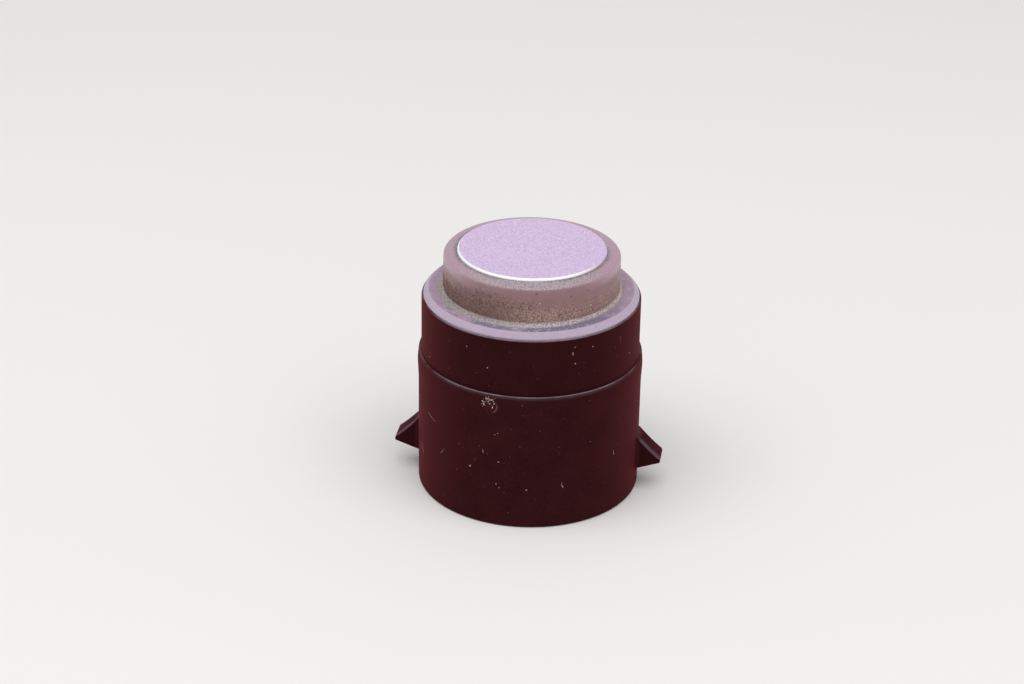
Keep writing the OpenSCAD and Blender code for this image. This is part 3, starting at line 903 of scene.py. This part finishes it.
def scratch_mesh():
    """Fine pale scratches on the housing: those of the front, and a few on the back."""
    rng = random.Random(SCATTER_SEED + 1)
    made = [scratch(*mark) for mark in SCRATCHES]
    for _ in range(BACK_SCRATCHES):
        degrees = rng.uniform(*BACK_SIDE)
        z = rng.uniform(BACK_MARGIN, ledge_z - BACK_MARGIN)
        end = (degrees + rng.uniform(-BACK_TURN, BACK_TURN), z + rng.uniform(-BACK_CLIMB, BACK_CLIMB))
        made.append(scratch((degrees, z), end, rng.uniform(-BACK_BOW, BACK_BOW), rng.uniform(*BACK_WIDTH)))
    return joined(made)


def smear_mesh():
    """Wide faint smears at the sides."""
    return joined([scratch(*mark, SMEAR_RISE) for mark in SMEARS])


# Dried patch on the housing: its place and reach, and its form from the rim to the middle as (share, rise)
SCAB_ANGLE = -102.3
SCAB_Z = 13.85
SCAB_R = 0.85
SCAB_FORM = [(1.0, -0.03), (0.98, 0.004), (0.85, 0.02), (0.6, 0.01), (0.3, 0.02), (0, 0.01)]
SCAB_POINTS = 28
SCAB_SINK = 0.05
SCAB_LOBES = (0.85, 1.1)
SCAB_RIM = 0.9
SCAB_UNEVEN = 0.008

# Smooth edge of the patch
SCAB_EDGE_STEPS = 24
SCAB_EDGE_START = -75
SCAB_EDGE_SWEEP = 110
SCAB_EDGE_HALF = 0.13
SCAB_EDGE_RISE = 0.03


def scab_point(across, up, rise):
    """Point on the scab from its middle: along the wall, up it and out of it."""
    z = SCAB_Z + up
    radius = wall_r(z)
    return spot(SCAB_ANGLE + math.degrees(across / radius), radius + rise, z)


def scab_mesh():
    """Thin dried patch with a ragged edge."""
    rng = random.Random(SCATTER_SEED + 2)
    rings = [[scab_point(0, 0, -SCAB_SINK)] * SCAB_POINTS]
    lobes = [rng.uniform(*SCAB_LOBES) for _ in range(SCAB_POINTS)]
    for share, rise in SCAB_FORM:
        ring = []
        for k, lobe in enumerate(lobes):
            turn = 2 * math.pi * k / SCAB_POINTS
            reach = SCAB_R * share * lobe
            lift = rise
            if 0 < share < SCAB_RIM:
                lift += rng.uniform(-SCAB_UNEVEN, SCAB_UNEVEN)
            ring.append(scab_point(reach * math.cos(turn), reach * math.sin(turn), lift))
        rings.append(ring)
    return loft(rings)


def crescent_mesh():
    """Smooth dried edge along the right of the scab."""
    rings = []
    for k in range(SCAB_EDGE_STEPS + 1):
        share = k / SCAB_EDGE_STEPS
        turn = math.radians(SCAB_EDGE_START + SCAB_EDGE_SWEEP * share)
        half = SCAB_EDGE_HALF * math.sin(math.pi * share)
        ring = []
        for out, rise in ((-half, 0), (0, SCAB_EDGE_RISE), (half, 0), (0, -SCAB_EDGE_RISE)):
            reach = SCAB_R + out
            ring.append(scab_point(reach * math.cos(turn), reach * math.sin(turn), rise))
        rings.append(ring)
    return loft(rings)


# Places on the scab from its middle, along the wall and up it: clusters of flecks with their spread,
# rays of flecks with their two ends, and dark bits of painted shadow between the flecks with their size
FLECK_CLUSTERS = [
    (-0.53, 0.22, 0.08), (-0.5, 0.05, 0.06), (-0.62, 0.34, 0.05), (-0.05, 0.76, 0.06), (-0.07, 0.44, 0.07),
    (0.12, 0.66, 0.05), (0.34, 0.7, 0.05), (0.46, 0.55, 0.04), (0.15, 0.22, 0.05), (-0.29, 0.78, 0.05),
    (0.42, -0.1, 0.04), (0.56, 0.3, 0.04),
]
FLECKS_PER_CLUSTER = 9
FLECK_RAYS = [
    ((0.34, 0.72), (0.68, 0.92)), ((-0.29, 0.83), (-0.36, 1.03)), ((-0.05, 0.78), (-0.04, 1.02)),
    ((-0.6, 0.3), (-0.78, 0.42)), ((-0.6, 0.15), (-0.82, 0.06)), ((-0.54, 0.05), (-0.68, -0.22)),
    ((-0.4, 0.6), (-0.6, 0.7)), ((0.44, 0.56), (0.62, 0.44)), ((0.15, 0.22), (0.42, -0.1)),
    ((-0.2, 0.5), (-0.46, 0.3)), ((0.12, 0.66), (-0.07, 0.44)),
]
FLECKS_PER_RAY = 6
SCAB_SHADOWS = [(-0.44, 0.62, 0.2), (-0.18, 0.58, 0.2), (0.2, 0.5, 0.18), (-0.28, 0.18, 0.16), (0.3, 0.36, 0.12)]
CLUSTER_FLECK_SIZE = (0.04, 0.08)
CLUSTER_RISE = 0.03
RAY_FLECK_SIZE = (0.03, 0.055)
RAY_RISE = 0.01
SHADOW_RISE = 0.01
FLECK_FLATNESS = 0.5
SHADOW_FLATNESS = 0.15


def fleck_mesh():
    """Whitish flecks in clusters and rays over the upper left of the scab."""
    rng = random.Random(SCATTER_SEED + 3)
    bm = bmesh.new()
    normal = spot(SCAB_ANGLE, 1, 0)
    for across, up, spread in FLECK_CLUSTERS:
        for _ in range(FLECKS_PER_CLUSTER):
            size = rng.uniform(*CLUSTER_FLECK_SIZE)
            place = scab_point(across + rng.gauss(0, spread), up + rng.gauss(0, spread), CLUSTER_RISE)
            pebble(bm, place, normal, size, FLECK_FLATNESS, rng)
    for start, end in FLECK_RAYS:
        for k in range(FLECKS_PER_RAY):
            across, up = Vector(start).lerp(Vector(end), k / (FLECKS_PER_RAY - 1))
            size = rng.uniform(*RAY_FLECK_SIZE)
            pebble(bm, scab_point(across, up, RAY_RISE), normal, size, FLECK_FLATNESS, rng)
    return bm


def shadow_bit_mesh():
    """Dark bits that paint the shadow between the flecks."""
    rng = random.Random(SCATTER_SEED + 5)
    bm = bmesh.new()
    for across, up, size in SCAB_SHADOWS:
        pebble(bm, scab_point(across, up, SHADOW_RISE), spot(SCAB_ANGLE, 1, 0), size, SHADOW_FLATNESS, rng)
    return bm


# Dark grains on the neck and on the ring's top
GRIT_SEED = 5
DARK_GRIT = 4200
DARK_GRIT_SIZE = (0.04, 0.12)
DARK_GRIT_LEAST = 0.08
DARK_GRIT_OVER = 0.1
DARK_GRIT_SCATTER = 0.3
DARK_GRIT_FLATNESS = 0.3
TOP_GRIT = 220
TOP_GRIT_SIZE = (0.03, 0.08)
TOP_GRIT_SIDES = (-165, TOP_GRIT_SIDE)
TOP_GRIT_TURN = 30
TOP_GRIT_GAP = 0.1
TOP_GRIT_SCATTER = 0.3

# Pale grains at the neck's foot; the last pairs are for the clean side and what the dirty side adds
PALE_GRIT = 1300
PALE_GRIT_SIZE = (0.04, 0.09)
PALE_GRIT_LEAN = (15, 90)
PALE_GRIT_FLAT = (0.15, 0.35)
PALE_GRIT_REACH = (0.1, 0.25)
PALE_GRIT_FLATNESS = 0.4


def dirt_edge(degrees):
    """Height that the dirt reaches on the neck at an angle."""
    return DIRT_MEAN_Z + DIRT_SWING * math.cos(math.radians(degrees - HIGH_DIRT_SIDE)) ** DIRT_POWER


def dirtiness(degrees):
    """1 on the dirty side of the neck, 0 on the far side."""
    return 0.5 + 0.5 * math.cos(math.radians(degrees - DIRTY_SIDE))


def dark_grit_mesh():
    """Dark grains in the dirt on the neck, most of them on its dirty side, and some on the ring's top."""
    rng = random.Random(GRIT_SEED)
    bm = bmesh.new()
    foot = flange_top + NECK_FILLET
    for _ in range(DARK_GRIT):
        degrees = rng.uniform(-180, 180)
        if rng.random() > DARK_GRIT_LEAST + (1 - DARK_GRIT_LEAST) * dirtiness(degrees) ** 3:
            continue
        reach = dirt_edge(degrees) + DARK_GRIT_OVER - foot
        z = foot + abs(reach * rng.random() + rng.gauss(0, DARK_GRIT_SCATTER))
        z = min(z, ring_top - NECK_ROUND)
        size = rng.uniform(*DARK_GRIT_SIZE)
        pebble(bm, spot(degrees, neck_r, z), spot(degrees, 1, 0), size, DARK_GRIT_FLATNESS, rng)
    top_w = neck_r - NECK_ROUND - cup_r
    for _ in range(TOP_GRIT):
        degrees = rng.choice(TOP_GRIT_SIDES) + rng.gauss(0, TOP_GRIT_TURN)
        out = TOP_GRIT_GAP + abs(rng.gauss(0, TOP_GRIT_SCATTER))
        size = rng.uniform(*TOP_GRIT_SIZE)
        if out < top_w:
            place = spot(degrees, cup_r + out, lip_top - NECK_LIP_H / top_w * out)
            pebble(bm, place, Vector((0, 0, 1)), size, DARK_GRIT_FLATNESS, rng)
    return bm


def pale_grit_mesh():
    """Pale grains of dust in the fillet at the foot of the neck, and some on the flange."""
    rng = random.Random(GRIT_SEED + 1)
    bm = bmesh.new()
    for _ in range(PALE_GRIT):
        degrees = rng.uniform(-180, 180)
        size = rng.uniform(*PALE_GRIT_SIZE)
        share = dirtiness(degrees)
        lean = math.radians(rng.uniform(*PALE_GRIT_LEAN))
        out = NECK_FILLET * (1 - math.cos(lean))
        if rng.random() < PALE_GRIT_FLAT[0] + PALE_GRIT_FLAT[1] * share:
            lean = math.radians(90)
            out = NECK_FILLET + abs(rng.gauss(0, PALE_GRIT_REACH[0] + PALE_GRIT_REACH[1] * share))
        z = flange_top + NECK_FILLET * (1 - math.sin(lean))
        normal = spot(degrees, math.cos(lean), math.sin(lean))
        pebble(bm, spot(degrees, neck_r + out, z), normal, size, PALE_GRIT_FLATNESS, rng)
    return bm


# Single bright and dark bits on the ring and the face, as (angle, radius, height, size)
BRIGHT_BITS = [
    (-90.5, 9.95, flange_top, 0.2), (-83, 10.45, flange_top, 0.14), (-92, 8.1, ring_top + 0.18, 0.1),
    (-84.5, neck_r, 23.95, 0.12), (-76.5, neck_r, 24.45, 0.11), (-58, 10.3, flange_top, 0.1),
    (-52, 10.1, flange_top, 0.08), (-66, 10.4, flange_top, 0.08), (-62, 10.35, flange_top, 0.07),
    (-55, 10.5, flange_top, 0.09), (-48, 10.3, flange_top, 0.07), (-70, 10.5, flange_top, 0.07),
    (-100, 10.3, flange_top, 0.08), (-107, 10.5, flange_top, 0.07),
]
DARK_BITS = [
    (-43.5, neck_r, 25.1, 0.18), (-56, neck_r, 24.9, 0.16), (-79, neck_r, 25.5, 0.18),
    (-73, 8.0, ring_top + 0.2, 0.12), (-115, 5.8, face_z, 0.1), (-36, 8.2, ring_top + 0.15, 0.12),
    (-38, 8.5, ring_top + 0.06, 0.1), (-133, 10.5, flange_top, 0.09), (-126, 10.85, flange_top - 0.15, 0.1),
    (-121, 10.95, flange_top - 0.25, 0.08), (-114, 10.6, flange_top, 0.08),
    (-45, 10.9, flange_top - 0.2, 0.1), (-140, 10.8, flange_top - 0.1, 0.08),
]
BIT_FLATNESS = 0.35


def bit_mesh(bits):
    """Single bits that lie on the ring and the face."""
    rng = random.Random(GRIT_SEED + 2)
    bm = bmesh.new()
    for degrees, radius, z, size in bits:
        upright = flange_top < z < ring_top
        normal = spot(degrees, 1, 0) if upright else Vector((0, 0, 1))
        pebble(bm, spot(degrees, radius, z), normal, size, BIT_FLATNESS, rng)
    return bm


def dress_inside():
    """Finish of the pieces that keep their own solid."""
    finishes = {
        "piezo_disc": grainy("piezo_ceramic", tone(205, 194, 165), tone(228, 218, 190), 6, 0.6),
        "damping_insert": grainy("damping_foam", tone(222, 222, 218), tone(240, 240, 236), 4, 0.8),
        "transducer_carrier": plastic("carrier_plastic", tone(88, 88, 92), tone(102, 102, 106), 0.5),
        "piezo_lead": plastic("lead_red", tone(175, 40, 34), tone(195, 52, 44), 0.35),
        "cup_lead": plastic("lead_black", tone(34, 34, 35), tone(44, 44, 46), 0.35),
        "circuit_board": plastic("board_laminate", tone(24, 98, 56), tone(34, 120, 68), 0.35),
        "driver_chip": plastic("chip_resin", tone(42, 42, 46), tone(52, 52, 56), 0.55),
        "transformer_core": grainy("ferrite", tone(72, 72, 76), tone(90, 90, 94), 8, 0.6),
        "transformer_winding": metal("copper_wire", tone(176, 108, 62), tone(214, 140, 88), 0.35),
        "storage_capacitor": plastic("capacitor_resin", tone(206, 158, 46), tone(224, 176, 60), 0.4),
        "ceramic_capacitors": grainy("capacitor_ceramic", tone(160, 134, 100), tone(184, 156, 120), 9, 0.5),
        "chip_resistors": plastic("resistor_ceramic", tone(44, 44, 46), tone(58, 58, 60), 0.3),
        "solder_joints": metal("solder", tone(190, 190, 192), tone(215, 215, 218), 0.3),
        "sealing_compound": plastic("sealing_gel", tone(102, 102, 102), tone(116, 116, 116), 0.3),
    }
    plated = metal("terminal_metal", tone(205, 182, 120), tone(232, 212, 158), 0.3)
    for name in ("supply_terminal", "signal_terminal", "ground_terminal"):
        finishes[name] = plated
    for name, material in finishes.items():
        mesh = frame["nodes"][name].data
        mesh.materials.clear()
        mesh.materials.append(material)


# Shine of marks that are as dull as the plastic under them
DULL = {"Specular_IOR_Level": 0.05}


def dress_outside():
    """Shells that the photograph shows, with their marks and dirt."""
    housing = add_piece("housing_moulding", housing_mesh(), housing_finish(), "housing")
    flat = housing.modifiers.new("even_shading", "WEIGHTED_NORMAL")
    flat.keep_sharp = True
    add_piece("silicone_ring", ring_mesh(), silicone(), "decoupling_ring")
    add_piece("sensing_cup", cup_mesh(), paint(), "transducer_cup")

    dust = grainy("dust_specks", seen(126, 88, 86), seen(182, 150, 144), 20, 0.8)
    haze = grainy("fine_dust", seen(116, 70, 72), seen(168, 120, 120), 12, 0.8, **DULL)
    scuff = grainy("scuffs", seen(136, 92, 96), seen(196, 152, 154), 5, 0.6, **DULL)
    smear = grainy("smears", seen(80, 26, 28), seen(100, 46, 48), 7, 0.7, **DULL)
    crust = grainy("dried_crust", seen(59, 13, 15), seen(73, 19, 22), 4, 0.7, **DULL)
    skin = grainy("dried_edge", seen(90, 40, 43), seen(114, 64, 66), 6, 0.7, **DULL)
    chalk = grainy("chalk_flecks", seen(166, 134, 131), seen(240, 219, 215), 8, 0.85)
    # Dark bits of painted shadow between the flecks on the scab
    hollow = grainy("scab_hollows", seen(32, 9, 11), seen(50, 18, 19), 8, 0.8, **DULL)
    soil = grainy("dark_grit", tone(62, 41, 35), tone(112, 79, 67), 16, 0.9)
    sand = grainy("pale_grit", seen(164, 148, 140), seen(218, 208, 202), 14, 0.85)
    glint = grainy("bright_bits", seen(226, 222, 226), seen(246, 244, 246), 10, 0.4)
    add_piece("surface_specks", speck_mesh(), dust)
    add_piece("fine_specks", fine_speck_mesh(), haze)
    add_piece("surface_scratches", scratch_mesh(), scuff)
    add_piece("surface_smears", smear_mesh(), smear)
    add_piece("scab_patch", scab_mesh(), crust)
    add_piece("scab_edge", crescent_mesh(), skin)
    add_piece("scab_flecks", fleck_mesh(), chalk)
    add_piece("scab_gaps", shadow_bit_mesh(), hollow)
    add_piece("neck_dark_grit", dark_grit_mesh(), soil)
    add_piece("neck_pale_grit", pale_grit_mesh(), sand)
    add_piece("ring_bright_bits", bit_mesh(BRIGHT_BITS), glint)
    add_piece("ring_dark_bits", bit_mesh(DARK_BITS), soil)


# Camera as it stood for the photograph, from the part's own origin
IMAGE_W = 1024
FOCAL_PX = 2500
SENSOR_W = 36
CAMERA_AZIMUTH = 8
CAMERA_ELEVATION = 29.34
CAMERA_DISTANCE = 269.06
CAMERA_YAW = -0.00738
CAMERA_PITCH = 0.05203
CAMERA_ROLL = 0.97


def make_camera():
    """Camera at the photograph's angle, distance and focal length."""
    turn, rise = math.radians(CAMERA_AZIMUTH), math.radians(CAMERA_ELEVATION)
    back = Vector((math.sin(turn) * math.cos(rise), -math.cos(turn) * math.cos(rise), math.sin(rise)))
    side = Vector((math.cos(turn), math.sin(turn), 0))
    ahead = (-back + CAMERA_YAW * side - CAMERA_PITCH * side.cross(back)).normalized()
    level = ahead.cross(Vector((0, 0, 1))).normalized()
    aim = Matrix((level, level.cross(ahead), -ahead)).transposed()
    data = bpy.data.cameras.new("camera")
    data.sensor_width = SENSOR_W
    data.lens = FOCAL_PX / IMAGE_W * SENSOR_W
    data.clip_start = 0.01
    camera = bpy.data.objects.new("camera", data)
    tilt = Matrix.Rotation(math.radians(CAMERA_ROLL), 4, "Z")
    camera.matrix_world = Matrix.Translation(back * CAMERA_DISTANCE * MM) @ aim.to_4x4() @ tilt
    bpy.context.scene.collection.objects.link(camera)
    bpy.context.scene.camera = camera


# Stage and light, in metres and watts
FLOOR_HALF = 3.0
SOFTBOX_W = 0.9
SOFTBOX_D = 0.4
SOFTBOX_PLACE = (0.0, -0.14, 0.5)
SOFTBOX_POWER = 2.25
WORLD_LIGHT = 0.5
WORLD_SHOWN = 0.85


def make_stage():
    """Plain pale floor under the object."""
    bm = bmesh.new()
    bmesh.ops.create_grid(bm, x_segments=1, y_segments=1, size=FLOOR_HALF)
    floor = new_object("floor", bm)
    card = Surface("floor_card", Roughness=0.9, Specular_IOR_Level=0.2)
    card.feed("Base Color", card.mix(card.noise(0.01), tone(238, 236, 234), tone(241, 239, 237)))
    floor.data.materials.append(card.material)


def make_light():
    """Large softbox overhead and an even pale surround."""
    data = bpy.data.lights.new("softbox", "AREA")
    data.shape = "RECTANGLE"
    data.size = SOFTBOX_W
    data.size_y = SOFTBOX_D
    data.energy = SOFTBOX_POWER
    lamp = bpy.data.objects.new("softbox", data)
    lamp.location = SOFTBOX_PLACE
    lamp.rotation_euler = (-Vector(SOFTBOX_PLACE)).to_track_quat("-Z", "Y").to_euler()
    bpy.context.scene.collection.objects.link(lamp)
    world = bpy.data.worlds.new("surround")
    world.use_nodes = True
    nodes, links = world.node_tree.nodes, world.node_tree.links
    path = nodes.new("ShaderNodeLightPath")
    shown = path.outputs["Is Camera Ray"]
    for ray in ("Is Glossy Ray", "Is Transmission Ray"):
        either = nodes.new("ShaderNodeMath")
        either.operation = "MAXIMUM"
        links.new(shown, either.inputs[0])
        links.new(path.outputs[ray], either.inputs[1])
        shown = either.outputs[0]
    level = nodes.new("ShaderNodeMapRange")
    level.inputs["To Min"].default_value = WORLD_LIGHT
    level.inputs["To Max"].default_value = WORLD_SHOWN
    links.new(shown, level.inputs["Value"])
    links.new(level.outputs["Result"], nodes["Background"].inputs["Strength"])
    nodes["Background"].inputs["Color"].default_value = (1, 1, 1, 1)
    bpy.context.scene.world = world


make_camera()
make_stage()
make_light()
dress_inside()
dress_outside()
bpy.context.scene.view_settings.view_transform = "Standard"
